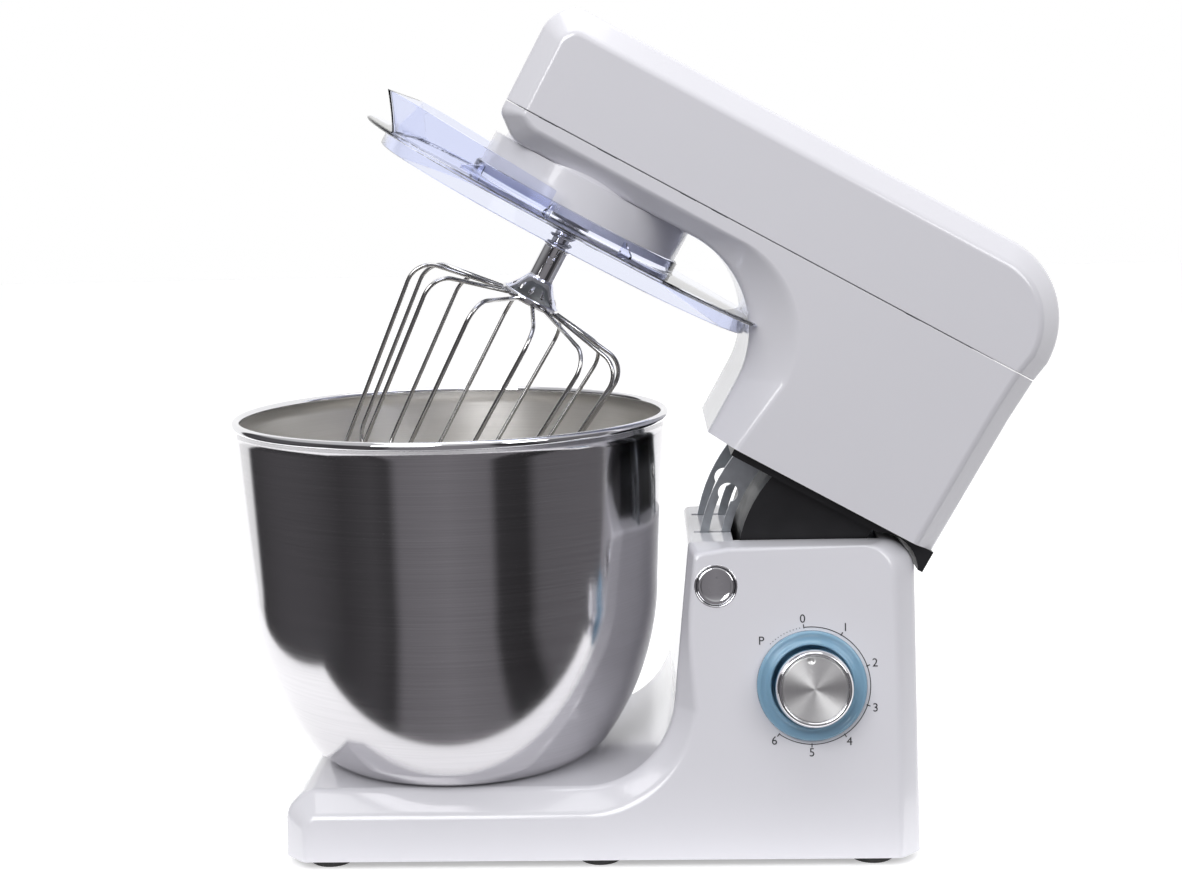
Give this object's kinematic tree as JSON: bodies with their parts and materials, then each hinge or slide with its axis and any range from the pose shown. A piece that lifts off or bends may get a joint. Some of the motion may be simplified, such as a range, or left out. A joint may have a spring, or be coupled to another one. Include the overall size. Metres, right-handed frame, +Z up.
{
  "type": "stand mixer",
  "caption": "Tilt-head stand mixer with raised head, steel bowl on a twist lock, wire whisk on a planetary drive, splash guard and speed knob.",
  "frame": {"origin": "on the bench under the middle of the mixer's box, head raised", "axes": "+X from the bowl to the hinge, -Y towards the side with the knob, +Z up"},
  "size_m": [0.4422, 0.246, 0.4433],
  "materials": {
    "white_plastic": "gloss",
    "black_plastic": "satin",
    "clear_plastic": "clear",
    "light_plastic": "satin",
    "polished_steel": "polished",
    "chrome": "polished",
    "spun_metal": "brushed",
    "zinc_steel": "satin",
    "cast_alloy": "satin",
    "rubber": "matte",
    "belt_rubber": "matte",
    "bronze": "satin",
    "ink": "matte",
    "board": "satin",
    "gear_plastic": "satin"
  },
  "bodies": {
    "base": {"base_shell": "white_plastic", "bottom_plate": "black_plastic", "feet": "rubber", "base_screws": "zinc_steel", "bowl_seat": "cast_alloy", "hinge_pedestal": "cast_alloy", "hinge_pin": "zinc_steel", "latch_guide": "cast_alloy", "speed_switch": "black_plastic", "control_board": "board", "light_ring": "light_plastic", "dial_scale": "ink", "button_bezel": "chrome", "cord_gland": "black_plastic"},
    "knob": {"speed_knob": "chrome", "knob_cap": "spun_metal"},
    "button": {"release_button": "chrome", "latch_pin": "zinc_steel", "button_spring": "zinc_steel"},
    "bowl": {"bowl": "polished_steel", "bowl_foot": "polished_steel"},
    "head": {"head_lower_shell": "white_plastic", "head_top_cover": "white_plastic", "neck_plate": "black_plastic", "hinge_shroud": "black_plastic", "near_sector_arm": "zinc_steel", "far_sector_arm": "zinc_steel", "hinge_bracket": "zinc_steel", "motor_frame": "cast_alloy", "motor_stator": "zinc_steel", "motor_bushes": "bronze", "drive_belt": "belt_rubber", "gear_frame": "cast_alloy", "gear_bridge": "cast_alloy", "shaft_bearings": "bronze", "gear_housing": "white_plastic", "ring_gear": "zinc_steel", "splash_guard": "clear_plastic", "head_screws": "zinc_steel"},
    "motor": {"motor_rotor": "zinc_steel", "motor_pulley": "cast_alloy"},
    "layshaft": {"layshaft": "zinc_steel", "layshaft_pulley": "cast_alloy", "layshaft_pinion": "zinc_steel"},
    "carrier": {"planet_carrier": "cast_alloy", "main_gear": "gear_plastic"},
    "tool": {"planet_pinion": "zinc_steel", "tool_shaft": "chrome", "tool_pin": "chrome", "tool_spring": "zinc_steel", "whisk_hub": "chrome", "whisk_wires": "chrome"}
  },
  "joints": [
    {"name": "head_tilt", "type": "hinge", "parent": "base", "child": "head", "pos_m": [0.129, 0, 0.149], "axis": [0, -1, 0], "range_deg": [0, 29]},
    {"name": "speed_knob", "type": "hinge", "parent": "base", "child": "knob", "pos_m": [0.092, -0.07535, 0.093], "axis": [0, -0.9836, 0.1805], "range_deg": [-215, 40]},
    {"name": "release_button", "type": "slide", "parent": "base", "child": "button", "axis": [0, 1, 0], "range_m": [0, 0.004], "stiffness_N_per_m": 400, "springref_m": -0.002, "deforming": ["button_spring"]},
    {"name": "bowl_turn", "type": "hinge", "parent": "base", "child": "bowl", "pos_m": [-0.1, 0, 0.04], "axis": [0, 0, 1], "range_deg": [-25, 0]},
    {"name": "carrier_spin", "type": "hinge", "parent": "head", "child": "carrier", "pos_m": [-0.02717, 0, 0.33961], "axis": [0.4848, 0, 0.8746], "continuous": true},
    {"name": "tool_spin", "type": "hinge", "parent": "carrier", "child": "tool", "pos_m": [-0.02717, -0.021, 0.33961], "axis": [0.4848, 0, 0.8746], "continuous": true},
    {"name": "layshaft_spin", "type": "hinge", "parent": "head", "child": "layshaft", "pos_m": [0.03552, 0, 0.3506], "axis": [0.4848, 0, 0.8746], "continuous": true},
    {"name": "motor_spin", "type": "hinge", "parent": "head", "child": "motor", "pos_m": [0.11787, 0, 0.21348], "axis": [0.4848, 0, 0.8746], "continuous": true}
  ],
  "couplings": [
    {"joint": "tool_spin", "follows": "carrier_spin", "ratio": -3},
    {"joint": "layshaft_spin", "follows": "carrier_spin", "ratio": -3.7143},
    {"joint": "motor_spin", "follows": "carrier_spin", "ratio": -14.032}
  ]
}
